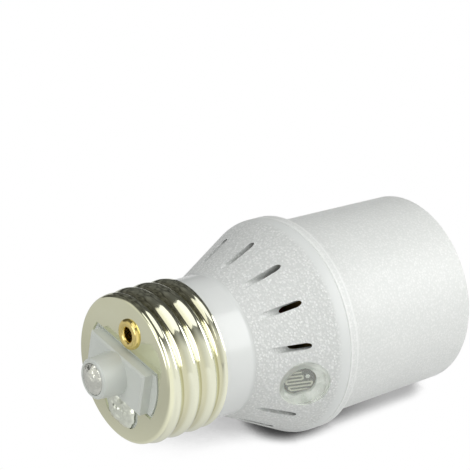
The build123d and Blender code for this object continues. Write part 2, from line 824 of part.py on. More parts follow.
link_points = wire_turns(
    (0, shell_rivet_circle, rivet_tail_z),
    (link_run, shell_rivet_circle, board_z),
    link_rise,
    link_rise,
)
with BuildPart() as neutral_link:
    with BuildLine() as link_path:
        FilletPolyline(*link_points, radius=link_bend)
    with BuildSketch(Plane(origin=link_points[0])):
        Circle(wire_radius)
    sweep(path=link_path.line)

neutral_link.part.label = "neutral_link"
export_step(neutral_link.part, "parts/neutral_link.step")
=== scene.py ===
import math

import bmesh
import bpy
from mathutils import Matrix, Vector, geometry, noise


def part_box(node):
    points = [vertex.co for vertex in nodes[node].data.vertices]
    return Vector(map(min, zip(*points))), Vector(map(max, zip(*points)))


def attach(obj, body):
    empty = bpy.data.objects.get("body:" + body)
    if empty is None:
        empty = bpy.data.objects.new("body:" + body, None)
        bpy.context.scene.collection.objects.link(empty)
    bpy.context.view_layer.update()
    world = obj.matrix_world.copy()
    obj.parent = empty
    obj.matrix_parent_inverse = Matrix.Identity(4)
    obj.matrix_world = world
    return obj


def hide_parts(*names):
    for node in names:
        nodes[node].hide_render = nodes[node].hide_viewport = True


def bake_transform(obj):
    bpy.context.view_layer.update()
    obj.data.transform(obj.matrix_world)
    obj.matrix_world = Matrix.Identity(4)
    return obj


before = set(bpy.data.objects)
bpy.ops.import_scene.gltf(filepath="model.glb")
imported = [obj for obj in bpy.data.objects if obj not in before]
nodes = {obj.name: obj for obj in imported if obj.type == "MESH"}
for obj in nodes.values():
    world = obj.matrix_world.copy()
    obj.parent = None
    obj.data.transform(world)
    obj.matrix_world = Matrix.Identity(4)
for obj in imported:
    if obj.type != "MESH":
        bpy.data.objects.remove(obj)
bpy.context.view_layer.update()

scene = bpy.context.scene
MM = 0.001

# Corners of the CAD nodes, in millimetres
cap_low, cap_high = (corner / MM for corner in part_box("cap_shell"))
eyelet_low, eyelet_high = (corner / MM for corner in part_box("eyelet"))
solder_low, solder_high = (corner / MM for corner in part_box("solder_joint"))
socket_low, socket_high = (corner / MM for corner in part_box("socket_shell"))
tongue_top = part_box("contact_tongue")[1].z / MM


def front_face(node_name):
    """Middle in millimetres and outward direction of a node's flat face on the window's side."""
    flatness = 0.01 * MM
    mesh = nodes[node_name].data
    largest = max(mesh.polygons, key=lambda face: face.area * max(-face.normal.y, 0.0))
    normal = Vector(largest.normal)
    level = max(vertex.co.dot(normal) for vertex in mesh.vertices)
    ring = [vertex.co for vertex in mesh.vertices if level - vertex.co.dot(normal) < flatness]
    return sum(ring, Vector()) / len(ring) / MM, normal


window_middle, window_normal = front_face("window_lens")


# Helpers: meshes

def smooth_step(value):
    """Goes from 0 to 1 with level ends."""
    value = min(max(value, 0.0), 1.0)
    return value * value * (3 - 2 * value)


def whole_turn(count):
    """Angles that go evenly once round."""
    return [2 * math.pi * step / count for step in range(count)]


def circle_points(radius, height, count, centre=(0.0, 0.0)):
    """Points of a level circle, in millimetres."""
    return [
        (centre[0] + radius * math.cos(turn), centre[1] + radius * math.sin(turn), height)
        for turn in whole_turn(count)
    ]


def arc_points(centre, radius, start, end, count):
    """Points of a flat arc between two angles in degrees, both ends included."""
    turns = [math.radians(start + (end - start) * step / count) for step in range(count + 1)]
    return [(centre[0] + radius * math.cos(turn), centre[1] + radius * math.sin(turn)) for turn in turns]


def band_faces(first, second, count):
    """Quads between two rings of points that start at these indices."""
    return [
        (first + step, first + (step + 1) % count, second + (step + 1) % count, second + step)
        for step in range(count)
    ]


def lofted(rings, closed=True):
    """Points and faces of a sheet through rings of equal count, from its last to its first too if closed."""
    count = len(rings[0])
    points = [point for ring in rings for point in ring]
    faces = []
    for place in range(len(rings) if closed else len(rings) - 1):
        faces += band_faces(place * count, (place + 1) % len(rings) * count, count)
    return points, faces


def capped(rings):
    """Points and faces of a solid through rings of equal count, with a face over each end."""
    points, faces = lofted(rings, closed=False)
    count = len(rings[0])
    faces.append(tuple(range(count)))
    faces.append(tuple(range(len(points) - count, len(points))))
    return points, faces


def strip_solid(sides):
    """Points and faces of the solid between two grids of points of the same size."""
    rows = len(sides[0])
    columns = len(sides[0][0])
    points = [point for grid in sides for row in grid for point in row]

    def index(side, row, column):
        """Place of a grid's point in the list of points."""
        return (side * rows + row) * columns + column

    faces = []
    for side in (0, 1):
        for row in range(rows - 1):
            for column in range(columns - 1):
                near = (index(side, row, column), index(side, row, column + 1))
                far = (index(side, row + 1, column + 1), index(side, row + 1, column))
                faces.append(near + far)
    rim = [(0, column) for column in range(columns - 1)]
    rim += [(row, columns - 1) for row in range(rows - 1)]
    rim += [(rows - 1, column) for column in range(columns - 1, 0, -1)]
    rim += [(row, 0) for row in range(rows - 1, 0, -1)]
    for first, second in zip(rim, rim[1:] + rim[:1]):
        faces.append((index(0, *first), index(0, *second), index(1, *second), index(1, *first)))
    return points, faces


def holed_face(points, outer, holes):
    """Triangles that fill a flat outline with holes, as indices into points."""
    loops = [outer] + holes
    order = [index for loop in loops for index in loop]
    flat = [[Vector(points[index]) for index in loop] for loop in loops]
    return [tuple(order[corner] for corner in triangle) for triangle in geometry.tessellate_polygon(flat)]


def bent_line(corners, radius, count):
    """Polyline with its inner corners rounded by arcs."""
    line = [corners[0]]
    for before, corner, after in zip(corners, corners[1:], corners[2:]):
        back = (before - corner).normalized()
        ahead = (after - corner).normalized()
        half = back.angle(ahead) / 2
        middle = corner + (back + ahead).normalized() * (radius / math.sin(half))
        first = corner + back * (radius / math.tan(half))
        last = corner + ahead * (radius / math.tan(half))
        for step in range(count + 1):
            spot = first.lerp(last, step / count) - middle
            line.append(middle + spot.normalized() * radius)
    return line + [corners[-1]]


def along_line(line, lengths, station):
    """Point and direction at a distance along a polyline, whose points lie at these lengths."""
    place = 0
    while place < len(line) - 2 and lengths[place + 1] < station:
        place += 1
    step = line[place + 1] - line[place]
    return line[place] + step * ((station - lengths[place]) / step.length), step.normalized()


def make_piece(name, points, faces, material, crease=40.0, ride=True):
    """Mesh object from millimetre points, with angles past the crease kept sharp."""
    weld_distance = 0.0001 * MM
    mesh = bpy.data.meshes.new(name)
    mesh.from_pydata([Vector(point) * MM for point in points], [], faces)
    shape = bmesh.new()
    shape.from_mesh(mesh)
    bmesh.ops.remove_doubles(shape, verts=shape.verts, dist=weld_distance)
    bmesh.ops.recalc_face_normals(shape, faces=shape.faces)
    shape.to_mesh(mesh)
    shape.free()
    mesh.shade_smooth()
    mesh.set_sharp_from_angle(angle=math.radians(crease))
    mesh.materials.append(material)
    piece = bpy.data.objects.new(name, mesh)
    scene.collection.objects.link(piece)
    if ride:
        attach(piece, "holder")
    return piece


# Helpers: materials

def new_material(name):
    """A node material, its node tree and its Principled shader."""
    material = bpy.data.materials.new(name)
    material.use_nodes = True
    tree = material.node_tree
    return material, tree, tree.nodes["Principled BSDF"]


def feed(tree, socket, value):
    """Gives a socket another node's output, an opaque colour or a plain value."""
    if isinstance(value, bpy.types.NodeSocket):
        tree.links.new(value, socket)
    elif socket.type == "RGBA":
        socket.default_value = (*value, 1.0)
    else:
        socket.default_value = value


def add_node(tree, kind, inputs, **settings):
    """A shader node with its settings and inputs."""
    made = tree.nodes.new(kind)
    for key, value in settings.items():
        setattr(made, key, value)
    for socket, value in inputs.items():
        feed(tree, made.inputs[socket], value)
    return made


def combine(tree, operation, first, second):
    """Arithmetic on two values."""
    return add_node(tree, "ShaderNodeMath", {0: first, 1: second}, operation=operation).outputs["Value"]


def times(tree, first, second):
    """Product of two values."""
    return combine(tree, "MULTIPLY", first, second)


def plus(tree, first, second):
    """Sum of two values."""
    return combine(tree, "ADD", first, second)


def between(tree, value, low, high, to_low=0.0, to_high=1.0):
    """Maps a value smoothly from one range to another."""
    inputs = {"Value": value, "From Min": low, "From Max": high, "To Min": to_low, "To Max": to_high}
    made = add_node(tree, "ShaderNodeMapRange", inputs, interpolation_type="SMOOTHSTEP")
    return made.outputs["Result"]


def until(tree, value, low, high):
    """One up to the low end of a range and nought past its high end."""
    return between(tree, value, low, high, 1.0, 0.0)


def blended(tree, share, first, second):
    """Colour that goes from first to second."""
    first_colour = 6
    second_colour = 7
    result_colour = 2
    inputs = {"Factor": share, first_colour: first, second_colour: second}
    return add_node(tree, "ShaderNodeMix", inputs, data_type="RGBA").outputs[result_colour]


def part_along(tree, vector, direction):
    """How far a vector goes in this direction."""
    inputs = {0: vector, 1: direction}
    return add_node(tree, "ShaderNodeVectorMath", inputs, operation="DOT_PRODUCT").outputs["Value"]


def length_of(tree, vector):
    """Length of a vector."""
    return add_node(tree, "ShaderNodeVectorMath", {0: vector}, operation="LENGTH").outputs["Value"]


def place_of(tree):
    """Coordinates fixed to the object, in metres."""
    return add_node(tree, "ShaderNodeTexCoord", {}).outputs["Object"]


def stretched(tree, scale):
    """Object coordinates multiplied along each axis."""
    mapping = add_node(tree, "ShaderNodeMapping", {"Vector": place_of(tree), "Scale": scale})
    return mapping.outputs["Vector"]


def height_of(tree):
    """Height above the mouth, in millimetres."""
    split = add_node(tree, "ShaderNodeSeparateXYZ", {"Vector": place_of(tree)})
    return combine(tree, "DIVIDE", split.outputs["Z"], MM)


def radius_of(tree):
    """Distance from the holder's axis, in millimetres."""
    return combine(tree, "DIVIDE", length_of(tree, stretched(tree, (1, 1, 0))), MM)


def from_window(tree):
    """Vector from the middle of the window's face, in metres."""
    inputs = {0: place_of(tree), 1: window_middle * MM}
    return add_node(tree, "ShaderNodeVectorMath", inputs, operation="SUBTRACT").outputs["Vector"]


def over_window(tree):
    """Height over the window's face, in millimetres."""
    return combine(tree, "DIVIDE", part_along(tree, from_window(tree), window_normal), MM)


def beside_window(tree):
    """Distance from the window's axis, in millimetres."""
    inputs = {0: from_window(tree), 1: window_normal}
    aside = add_node(tree, "ShaderNodeVectorMath", inputs, operation="CROSS_PRODUCT").outputs["Vector"]
    return combine(tree, "DIVIDE", length_of(tree, aside), MM)


# Range in which most values of the noise lie
grain_middle = (0.3, 0.7)


def grain(tree, size_mm, detail=2.0, vector=None):
    """Noise whose lumps are about this size."""
    inputs = {"Vector": vector or place_of(tree), "Scale": 1 / (size_mm * MM), "Detail": detail}
    return add_node(tree, "ShaderNodeTexNoise", inputs).outputs["Fac"]


def granules(tree, size_mm):
    """Closely packed round grains of this size, some of them stronger than the rest, as a pattern for relief
    and for painted glints.
    """
    sway_share = 0.9
    dome_span = (0.12, 0.72)
    chance_span = (0.1, 0.9)
    faintest = 0.3
    per_metre = 1 / (size_mm * MM)
    warp = add_node(tree, "ShaderNodeTexNoise", {"Vector": place_of(tree), "Scale": per_metre})
    inputs = {0: warp.outputs["Color"], "Scale": sway_share * size_mm * MM}
    sway = add_node(tree, "ShaderNodeVectorMath", inputs, operation="SCALE")
    inputs = {0: place_of(tree), 1: sway.outputs["Vector"]}
    spot = add_node(tree, "ShaderNodeVectorMath", inputs, operation="ADD")
    cells = add_node(tree, "ShaderNodeTexVoronoi", {"Vector": spot.outputs["Vector"], "Scale": per_metre})
    domes = until(tree, cells.outputs["Distance"], *dome_span)
    return times(tree, domes, between(tree, cells.outputs["Color"], *chance_span, faintest, 1.0))


def bumped(tree, shader, height, depth_mm):
    """Raises the surface by a height pattern of this depth."""
    bump = add_node(tree, "ShaderNodeBump", {"Height": height, "Distance": depth_mm * MM})
    feed(tree, shader.inputs["Normal"], bump.outputs["Normal"])


# Sizes of the screw shell and its eyelet, in millimetres

thread_pitch = 3.629
thread_crest = cap_high.x
thread_root = 12.3
thread_lip = 12.98
lip_blend = 1.1
shell_bore = 11.9
shell_wall = 0.4
end_rounding = 0.6
end_side_radius = 12.8
end_blend = 0.9
end_face_radius = end_side_radius - end_rounding
base_turn = math.radians(2.5)
ring_step = 0.2
ring_count = 240
ring_turns = whole_turn(ring_count)

eyelet_centre = ((eyelet_low.x + eyelet_high.x) / 2, 0.0)
eyelet_bore = 1.2
eyelet_shank = 1.6
eyelet_flange = (eyelet_high.x - eyelet_low.x) / 2
eyelet_curl = 1.95
eyelet_clearance = 0.05


# Materials of the two mouldings; a span of heights is in millimetres above the mouth

def housing_material(name):
    """Pale grey plastic: spark texture with painted glints on the cone, satin rim, glossy neck, cooler bar,
    and painted light in the well behind the window.
    """
    cone_start = (31.6, 32.6)
    cone_end = (45.2, 45.35)
    neck_start = (45.2, 45.4)
    bar_start = (60.0, 61.0)
    lump_share = 0.6
    fine_share = 0.06
    pit_share = 0.7
    glint_share = 0.92
    pale = (0.735, 0.757, 0.745)
    paler = (0.772, 0.790, 0.775)
    pit_colour = (0.655, 0.67, 0.655)
    painted_glint_colour = (0.97, 0.98, 0.97)
    bar_colour = (0.68, 0.71, 0.665)
    painted_well_light_colour = (0.97, 0.985, 0.96)
    rim_roughness = 0.42
    neck_roughness = 0.17
    bar_roughness = 0.33
    material, tree, shader = new_material(name)
    height = height_of(tree)
    on_cone = times(tree, between(tree, height, *cone_start), until(tree, height, *cone_end))
    on_bar = between(tree, height, *bar_start)
    grains_and_glints = times(tree, granules(tree, size_mm=0.42), on_cone)
    lumps = times(tree, grain(tree, size_mm=0.3), times(tree, on_cone, lump_share))
    fine = times(tree, grain(tree, size_mm=0.12, detail=1.0), fine_share)
    bumped(tree, shader, plus(tree, plus(tree, grains_and_glints, lumps), fine), depth_mm=0.06)
    tone = blended(tree, grain(tree, size_mm=9.0, detail=3.0), pale, paler)
    pitted = blended(tree, times(tree, on_cone, pit_share), tone, pit_colour)
    # Painted glints: the tops of the grains are painted near white, standing in for light sparkling on the
    # textured cone.
    with_painted_glints = blended(tree, times(tree, grains_and_glints, glint_share), pitted, painted_glint_colour)
    with_bar = blended(tree, on_bar, with_painted_glints, bar_colour)
    # Painted light: the well behind the window is made near white to stand in for the light that comes in
    # through the lens.
    with_painted_well_light = blended(tree, in_painted_light_well(tree), with_bar, painted_well_light_colour)
    feed(tree, shader.inputs["Base Color"], with_painted_well_light)
    smoother_neck = between(tree, height, *neck_start, rim_roughness, neck_roughness)
    rougher_bar = times(tree, on_bar, bar_roughness - neck_roughness)
    feed(tree, shader.inputs["Roughness"], plus(tree, smoother_neck, rougher_bar))
    return material


def in_painted_light_well(tree):
    """One in the well behind the window, which is painted lighter as painted light standing in for the light
    through the lens; nought elsewhere on the housing.
    """
    well_top = (-1.05, -0.65)
    well_side = (4.6, 4.9)
    deep = until(tree, over_window(tree), *well_top)
    return times(tree, deep, until(tree, beside_window(tree), *well_side))


def skirt_material(name):
    """Pale grey plastic with a fine satin texture, painted glints and painted highlights along the edges of
    its flange.
    """
    lower_edge_start = (28.2, 28.35)
    lower_edge_end = (28.55, 28.75)
    upper_edge_start = (29.45, 29.65)
    fine_share = 0.6
    glint_share = 0.55
    edge_highlight_share = 0.45
    pale = (0.745, 0.765, 0.748)
    paler = (0.785, 0.800, 0.782)
    painted_glint_colour = (0.97, 0.975, 0.965)
    painted_highlight_colour = (0.95, 0.957, 0.945)
    roughness = (0.34, 0.46)
    material, tree, shader = new_material(name)
    fine = times(tree, grain(tree, size_mm=0.11, detail=1.0), fine_share)
    bumped(tree, shader, plus(tree, grain(tree, size_mm=0.3), fine), depth_mm=0.04)
    tone = blended(tree, grain(tree, size_mm=11.0, detail=3.0), pale, paler)
    grains_and_glints = times(tree, granules(tree, size_mm=0.40), glint_share)
    # Painted glints: a share of the grains is painted near white, standing in for light sparkling on the
    # satin texture.
    with_painted_glints = blended(tree, grains_and_glints, tone, painted_glint_colour)
    height = height_of(tree)
    # Painted highlights: thin lighter bands along the flange's edges stand in for the light that its rounded
    # edges catch.
    lower_edge_highlight = times(tree, between(tree, height, *lower_edge_start), until(tree, height, *lower_edge_end))
    painted_edge_highlights = plus(tree, lower_edge_highlight, between(tree, height, *upper_edge_start))
    with_painted_edge_highlights = blended(tree, times(tree, painted_edge_highlights, edge_highlight_share), with_painted_glints, painted_highlight_colour)
    feed(tree, shader.inputs["Base Color"], with_painted_edge_highlights)
    feed(tree, shader.inputs["Roughness"], between(tree, grain(tree, size_mm=0.5), *grain_middle, *roughness))
    return material


# Materials of the metals

def worn_metal(tree, shader, colour, roughness, marks_mm, relief_mm, stretch=(1, 1, 1), detail=3.0):
    """Makes a shader a metal of this colour, with uneven gloss and fine marks."""
    shader.inputs["Metallic"].default_value = 1.0
    feed(tree, shader.inputs["Base Color"], colour)
    marks = grain(tree, marks_mm, detail, stretched(tree, stretch))
    feed(tree, shader.inputs["Roughness"], between(tree, marks, *grain_middle, *roughness))
    bumped(tree, shader, marks, relief_mm)


def drifting(tree, pale, deep):
    """Tint of a metal that drifts between two colours."""
    return blended(tree, grain(tree, size_mm=5.0, detail=4.0), pale, deep)


def metal_material(name, pale, deep, roughness, marks_mm, relief_mm, stretch=(1, 1, 1)):
    """Metal with a tint that drifts, uneven gloss and fine marks."""
    material, tree, shader = new_material(name)
    worn_metal(tree, shader, drifting(tree, pale, deep), roughness, marks_mm, relief_mm, stretch)
    return material


def plating_material(name):
    """Bright plate with a warm tint, with painted shade that darkens the thread's roots."""
    root_span = (thread_root + 0.05, thread_root + 0.55)
    side_end = (cap_high.z - 1.2, cap_high.z - 0.7)
    end_pale = (0.86, 0.865, 0.655)
    end_deep = (0.82, 0.815, 0.585)
    side_colour = (0.80, 0.805, 0.64)
    root_shade_colour = (0.64, 0.625, 0.44)
    roughness = (0.06, 0.13)
    material, tree, shader = new_material(name)
    on_side = until(tree, height_of(tree), *side_end)
    # Painted shade: the roots of the thread are painted darker and yellower, standing in for the shade in the
    # thread's grooves.
    painted_root_shade = times(tree, until(tree, radius_of(tree), *root_span), on_side)
    with_side = blended(tree, on_side, drifting(tree, end_pale, end_deep), side_colour)
    with_painted_root_shade = blended(tree, painted_root_shade, with_side, root_shade_colour)
    worn_metal(tree, shader, with_painted_root_shade, roughness, marks_mm=0.6, relief_mm=0.002, stretch=(1, 1, 4))
    return material


def solder_material(name):
    """Dull solder with a brown film of flux towards its outer side."""
    film_width = 1.6
    film_share = 0.9
    film_patches = (0.35, 0.6)
    film_colour = (0.42, 0.33, 0.18)
    pale = (0.93, 0.96, 0.86)
    deep = (0.82, 0.85, 0.74)
    roughness = (0.28, 0.46)
    material, tree, shader = new_material(name)
    split = add_node(tree, "ShaderNodeSeparateXYZ", {"Vector": place_of(tree)})
    film_end = (solder_low.x + film_width) * MM
    outer_side = between(tree, split.outputs["X"], solder_low.x * MM, film_end, film_share, 0.0)
    film = times(tree, outer_side, between(tree, grain(tree, size_mm=1.4, detail=3.0), *film_patches))
    silver = blended(tree, grain(tree, size_mm=1.3), pale, deep)
    with_film = blended(tree, film, silver, film_colour)
    worn_metal(tree, shader, with_film, roughness, marks_mm=0.9, relief_mm=0.05, detail=2.0)
    return material


# Materials of the window, the board and the plain pieces

def lens_material(name):
    """Clear window plastic with a faint green tint, fine ripples and a frosted rim."""
    frost_start = (4.05, 4.25)
    frost_roughness = 0.5
    ragged_depth = 0.9
    ripple_middle = (0.2, 0.8)
    polish_roughness = (0.0, 0.04)
    green = (0.95, 0.99, 0.93)
    paler_green = (0.97, 0.995, 0.95)
    material, tree, shader = new_material(name)
    shader.inputs["Transmission Weight"].default_value = 0.91
    shader.inputs["IOR"].default_value = 1.49
    tone = blended(tree, grain(tree, size_mm=3.0), green, paler_green)
    feed(tree, shader.inputs["Base Color"], tone)
    ragged = plus(tree, beside_window(tree), times(tree, grain(tree, size_mm=1.3), ragged_depth))
    frost = between(tree, ragged, *frost_start, 0.0, frost_roughness)
    ripples = grain(tree, size_mm=1.6)
    polish = between(tree, ripples, *ripple_middle, *polish_roughness)
    feed(tree, shader.inputs["Roughness"], plus(tree, polish, frost))
    bumped(tree, shader, ripples, depth_mm=0.004)
    shadow_ray = add_node(tree, "ShaderNodeLightPath", {}).outputs["Is Shadow Ray"]
    feed(tree, shader.inputs["Alpha"], combine(tree, "SUBTRACT", 1.0, shadow_ray))
    return material


def board_material(name):
    """Brown laminate with a faint weave."""
    weave_mm = 1.2
    weave_share = 0.25
    brown = (0.42, 0.28, 0.10)
    paler_brown = (0.50, 0.35, 0.14)
    weave_colour = (0.3, 0.2, 0.08)
    material, tree, shader = new_material(name)
    inputs = {"Vector": place_of(tree), "Scale": 1 / (weave_mm * MM), "Mortar Size": 0.08}
    weave = add_node(tree, "ShaderNodeTexBrick", inputs).outputs["Fac"]
    tone = blended(tree, grain(tree, size_mm=4.0, detail=3.0), brown, paler_brown)
    woven = blended(tree, times(tree, weave, weave_share), tone, weave_colour)
    feed(tree, shader.inputs["Base Color"], woven)
    shader.inputs["Roughness"].default_value = 0.4
    bumped(tree, shader, weave, depth_mm=0.01)
    return material


def plain_material(name, pale, deep, roughness, grain_mm=0.4):
    """Plastic, lacquer or ceramic with a drifting tone and a fine relief."""
    marks_middle = (0.25, 0.75)
    spread = 0.06
    material, tree, shader = new_material(name)
    tone = blended(tree, grain(tree, size_mm=2.5, detail=3.0), pale, deep)
    feed(tree, shader.inputs["Base Color"], tone)
    marks = grain(tree, grain_mm)
    uneven = between(tree, marks, *marks_middle, roughness - spread, roughness + spread)
    feed(tree, shader.inputs["Roughness"], uneven)
    bumped(tree, shader, marks, depth_mm=0.02)
    return material


# Metals: pale and deep tint, range of roughness, size and depth of marks in millimetres, and their stretch
metals = {
    "contact_metal": ((0.92, 0.93, 0.86), (0.70, 0.71, 0.63), (0.10, 0.22), 1.4, 0.45),
    "eyelet_brass": ((0.92, 0.76, 0.32), (0.84, 0.66, 0.24), (0.12, 0.24), 0.5, 0.006),
    "tinned_lead": ((0.75, 0.75, 0.74), (0.62, 0.62, 0.61), (0.20, 0.35), 0.3, 0.006),
    "sensor_track": ((0.60, 0.585, 0.51), (0.50, 0.49, 0.42), (0.28, 0.42), 0.2, 0.004),
    "screw_steel": ((0.66, 0.66, 0.66), (0.54, 0.54, 0.55), (0.22, 0.36), 0.4, 0.006),
    "rivet_brass": ((0.78, 0.60, 0.27), (0.66, 0.48, 0.18), (0.22, 0.38), 0.4, 0.008),
    "socket_metal": ((0.83, 0.83, 0.82), (0.74, 0.74, 0.73), (0.12, 0.26), 0.7, 0.004, (1, 1, 5)),
    "spring_brass": ((0.80, 0.61, 0.26), (0.70, 0.50, 0.18), (0.18, 0.32), 0.6, 0.005, (1, 8, 1)),
}

# Plain finishes: pale and deep tint, roughness, and the size of the grain in millimetres where it is coarser
plain_finishes = {
    "sensor_face": ((0.06, 0.057, 0.05), (0.04, 0.038, 0.033), 0.35),
    "black_component": ((0.03, 0.03, 0.03), (0.05, 0.05, 0.05), 0.45),
    "film_case": ((0.45, 0.10, 0.05), (0.36, 0.07, 0.04), 0.3, 0.8),
    "can_sleeve": ((0.04, 0.06, 0.13), (0.03, 0.04, 0.10), 0.3),
    "resistor_body": ((0.55, 0.43, 0.27), (0.47, 0.35, 0.20), 0.35),
    "black_wire": ((0.025, 0.025, 0.025), (0.04, 0.04, 0.04), 0.4),
    "white_wire": ((0.76, 0.76, 0.73), (0.70, 0.70, 0.67), 0.4),
    "red_wire": ((0.50, 0.03, 0.02), (0.42, 0.02, 0.02), 0.4),
}

special_finishes = {
    "housing_plastic": housing_material,
    "skirt_plastic": skirt_material,
    "plated_shell": plating_material,
    "solder": solder_material,
    "clear_lens": lens_material,
    "board": board_material,
}

finishes = {name: make(name) for name, make in special_finishes.items()}
finishes.update({name: metal_material(name, *look) for name, look in metals.items()})
finishes.update({name: plain_material(name, *look) for name, look in plain_finishes.items()})

node_finishes = {
    "base_housing": "housing_plastic",
    "skirt": "skirt_plastic",
    "window_lens": "clear_lens",
    "centre_contact": "contact_metal",
    "photocell": "sensor_face",
    "photocell_leads": "tinned_lead",
    "circuit_board": "board",
    "board_screws": "screw_steel",
    "thyristor": "black_component",
    "bridge_rectifier": "black_component",
    "film_capacitor": "film_case",
    "electrolytic_capacitor": "can_sleeve",
    "resistors": "resistor_body",
    "tongue_rivet": "rivet_brass",
    "shell_rivets": "rivet_brass",
    "line_wire": "black_wire",
    "neutral_wire": "white_wire",
    "neutral_link": "white_wire",
    "load_wire": "red_wire",
}


def paint_nodes():
    """Gives every CAD node that no piece replaces its finish."""
    for node_name, finish in node_finishes.items():
        nodes[node_name].data.materials.clear()
        nodes[node_name].data.materials.append(finishes[finish])


# Screw shell: drawn sheet with a rolled thread, a rounded end and its cut-outs

def thread_radius(turn, height, start, root, crest):
    """Radius of a right-hand rolled thread at an angle and a height."""
    phase = (height - start) / thread_pitch * 2 * math.pi - turn
    return (root + crest) / 2 + (crest - root) / 2 * math.cos(phase)


def ring_of(radii, height):
    """Level ring of points with a radius for each of the ring's angles."""
    return [
        (radius * math.cos(turn), radius * math.sin(turn), height) for radius, turn in zip(radii, ring_turns)
    ]


def shell_side(turn, height):
    """Outer radius of the screw shell below its rounded end."""
    share = smooth_step((height - cap_low.z) / lip_blend)
    rolled = thread_radius(turn, height, cap_low.z, thread_root, thread_crest)
    ending = smooth_step(1 - (cap_high.z - end_rounding - height) / end_blend)
    side = thread_lip + (rolled - thread_lip) * share
    return side + (end_side_radius - side) * ending


def turned(x, y):
    """Point on the base's end, turned about the axis with the bar."""
    across = x * math.cos(base_turn) - y * math.sin(base_turn)
    along = x * math.sin(base_turn) + y * math.cos(base_turn)
    return across, along


def cutout_outline():
    """Outline of the bar's cut-out with the solder's notch on its -X side."""
    half_width = 4.5
    end_radius = 9.8
    end_steps = 16
    notch_x = -6.9
    notch_low_y = -2.7
    notch_high_y = 1.3
    notch_radius = 2.8
    notch_steps = 14
    end_angle = math.degrees(math.acos(half_width / end_radius))
    bite = math.degrees(math.acos((-half_width - notch_x) / notch_radius))
    outline = arc_points((0, 0), end_radius, end_angle, 180 - end_angle, end_steps)
    outline += arc_points((notch_x, notch_high_y), notch_radius, bite, 180, notch_steps)
    outline += arc_points((notch_x, notch_low_y), notch_radius, 180, 360 - bite, notch_steps)
    outline += arc_points((0, 0), end_radius, 180 + end_angle, 360 - end_angle, end_steps)
    return [turned(x, y) for x, y in outline]


def eyelet_hole():
    """Outline of the hole that the eyelet goes through."""
    hole_count = 24
    circle = circle_points(eyelet_shank + eyelet_clearance, 0.0, hole_count, eyelet_centre)
    return [spot[:2] for spot in circle]


def shell_rings():
    """Rings of the shell's sheet: down its bore, up its thread and over its rounded end."""
    rounding_steps = 8
    shoulder = cap_high.z - end_rounding
    steps = round((shoulder - cap_low.z) / ring_step)
    rings = [circle_points(shell_bore, height, ring_count) for height in (cap_high.z - shell_wall, cap_low.z)]
    for step in range(steps + 1):
        height = cap_low.z + (shoulder - cap_low.z) * step / steps
        rings.append(ring_of([shell_side(turn, height) for turn in ring_turns], height))
    depths = [shell_side(turn, shoulder) - end_face_radius for turn in ring_turns]
    for step in range(1, rounding_steps + 1):
        lean = math.pi / 2 * step / rounding_steps
        radii = [end_face_radius + depth * math.cos(lean) for depth in depths]
        rings.append(ring_of(radii, shoulder + end_rounding * math.sin(lean)))
    return rings


def screw_shell():
    """Rolled-thread shell as one closed sheet."""
    rings = shell_rings()
    points, faces = lofted(rings, closed=False)
    upper_loops = []
    lower_loops = []
    for outline in (cutout_outline(), eyelet_hole()):
        for loops, height in ((upper_loops, cap_high.z), (lower_loops, cap_high.z - shell_wall)):
            loops.append(list(range(len(points), len(points) + len(outline))))
            points += [(x, y, height) for x, y in outline]
        faces += band_faces(upper_loops[-1][0], lower_loops[-1][0], len(outline))
    top_ring = list(range(ring_count * (len(rings) - 1), ring_count * len(rings)))
    faces += holed_face(points, top_ring, upper_loops)
    faces += holed_face(points, list(range(ring_count)), lower_loops)
    piece = make_piece("shell_thread", points, faces, finishes["plated_shell"], crease=50)
    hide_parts("cap_shell")


# Eyelet: rolled flange, tube and inner curl

def eyelet_piece():
    """Hollow rivet with a rounded flange."""
    around = 64
    roll_steps = 16
    roll_fullness = 0.75
    roll_middle = (eyelet_bore + eyelet_flange) / 2
    roll_width = (eyelet_flange - eyelet_bore) / 2
    seat = cap_high.z
    crown = eyelet_high.z - seat
    curl_top = eyelet_low.z + eyelet_shank - eyelet_bore
    leans = [math.pi * step / roll_steps for step in range(roll_steps + 1)]
    profile = [
        (roll_middle + roll_width * math.cos(lean), seat + crown * math.sin(lean) ** roll_fullness)
        for lean in leans
    ]
    profile += [
        (eyelet_bore, eyelet_low.z),
        (eyelet_curl, eyelet_low.z),
        (eyelet_curl, curl_top),
        (eyelet_shank, curl_top),
        (eyelet_shank, seat),
    ]
    rings = [circle_points(radius, height, around, eyelet_centre) for radius, height in profile]
    points, faces = lofted(rings)
    piece = make_piece("eyelet_roll", points, faces, finishes["eyelet_brass"])
    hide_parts("eyelet")


# Solder: a lumpy mound over the notch and a plug in it

solder_x = -7.25
solder_y = -0.95
solder_half_width = 3.05
solder_half_straight = 1.0

# Patterns on the solder: layer of the noise, and its lumps to the millimetre across and along
edge_waves = (3.0, 0.9, 0.9)
edge_nicks = (5.0, 2.2, 2.2)
top_lumps = (7.0, 0.8, 0.7)
top_wrinkles = (11.0, 1.7, 1.7)
top_creases = (13.0, 3.4, 3.4)


def unevenness(x, y, layer, per_mm_across, per_mm_along):
    """Smooth noise between -1 and 1."""
    return noise.noise(Vector((x * per_mm_across, y * per_mm_along, layer)))


def ragged_edge(x, y):
    """Share of the outline that the solder's edge keeps at this point."""
    full = 0.92
    raggedness = 0.08
    nick_share = 0.5
    return full + raggedness * (unevenness(x, y, *edge_waves) + nick_share * unevenness(x, y, *edge_nicks))


